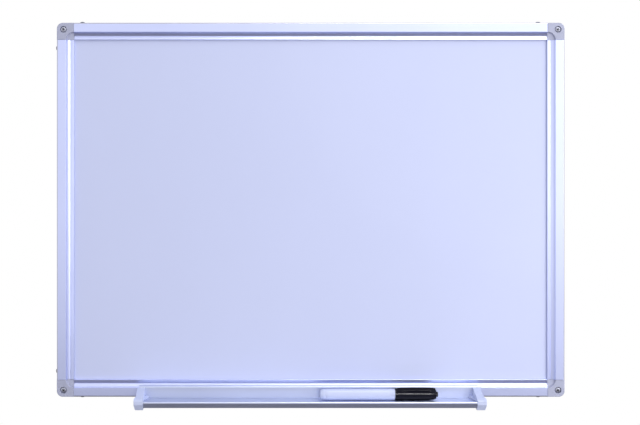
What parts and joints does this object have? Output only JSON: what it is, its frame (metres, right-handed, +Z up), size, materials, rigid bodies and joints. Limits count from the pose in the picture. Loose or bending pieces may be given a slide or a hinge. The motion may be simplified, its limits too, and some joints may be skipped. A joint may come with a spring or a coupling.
{
  "type": "whiteboard",
  "caption": "Wall-hung dry-wipe board in an aluminium frame with moulded corners, a sliding pen tray and a capped marker.",
  "frame": {"origin": "middle of the board's back, on the wall plane", "axes": "+X right along the board, +Z up, +Y back into the wall"},
  "size_m": [0.6048, 0.0524, 0.4544],
  "materials": {
    "aluminium": "satin anodised",
    "tray_aluminium": "satin anodised",
    "grey_plastic": "fine moulded",
    "bracket_plastic": "moulded",
    "screw_steel": "zinc plated",
    "white_enamel": "gloss",
    "core_fibreboard": "pressed",
    "galvanised_steel": "galvanised",
    "marker_white": "gloss",
    "marker_black": "gloss",
    "ink_fibre": "ink-soaked fibre"
  },
  "bodies": {
    "board": {"frame_rail_top": "aluminium", "frame_rail_right": "aluminium", "frame_rail_bottom": "aluminium", "frame_rail_left": "aluminium", "corner_cap_top_left": "grey_plastic", "corner_cap_top_right": "grey_plastic", "corner_cap_bottom_right": "grey_plastic", "corner_cap_bottom_left": "grey_plastic", "corner_bracket_top_left": "bracket_plastic", "corner_bracket_top_right": "bracket_plastic", "corner_bracket_bottom_right": "bracket_plastic", "corner_bracket_bottom_left": "bracket_plastic", "corner_screw_top_left": "screw_steel", "corner_screw_top_right": "screw_steel", "corner_screw_bottom_right": "screw_steel", "corner_screw_bottom_left": "screw_steel", "rail_screw_top_1": "screw_steel", "rail_screw_top_2": "screw_steel", "rail_screw_right_1": "screw_steel", "rail_screw_right_2": "screw_steel", "rail_screw_bottom_1": "screw_steel", "rail_screw_bottom_2": "screw_steel", "rail_screw_left_1": "screw_steel", "rail_screw_left_2": "screw_steel", "writing_sheet": "white_enamel", "core_board": "core_fibreboard", "backing_sheet": "galvanised_steel"},
    "tray": {"tray_rail": "tray_aluminium", "tray_end_left": "grey_plastic", "tray_end_right": "grey_plastic"},
    "marker": {"marker_plug": "marker_white", "marker_barrel": "marker_white", "marker_holder": "marker_white", "marker_nib": "ink_fibre", "marker_reservoir": "ink_fibre"},
    "cap": {"marker_cap": "marker_black"}
  },
  "joints": [
    {"name": "tray_slide", "type": "slide", "parent": "board", "child": "tray", "axis": [1, 0, 0], "range_m": [-0.065, 0.07]},
    {"name": "marker_lift", "type": "slide", "parent": "tray", "child": "marker", "axis": [0, -0.7071, 0.7071], "range_m": [0, 0.12]},
    {"name": "cap_pull", "type": "slide", "parent": "marker", "child": "cap", "axis": [1, 0, 0], "range_m": [0, 0.036]}
  ]
}
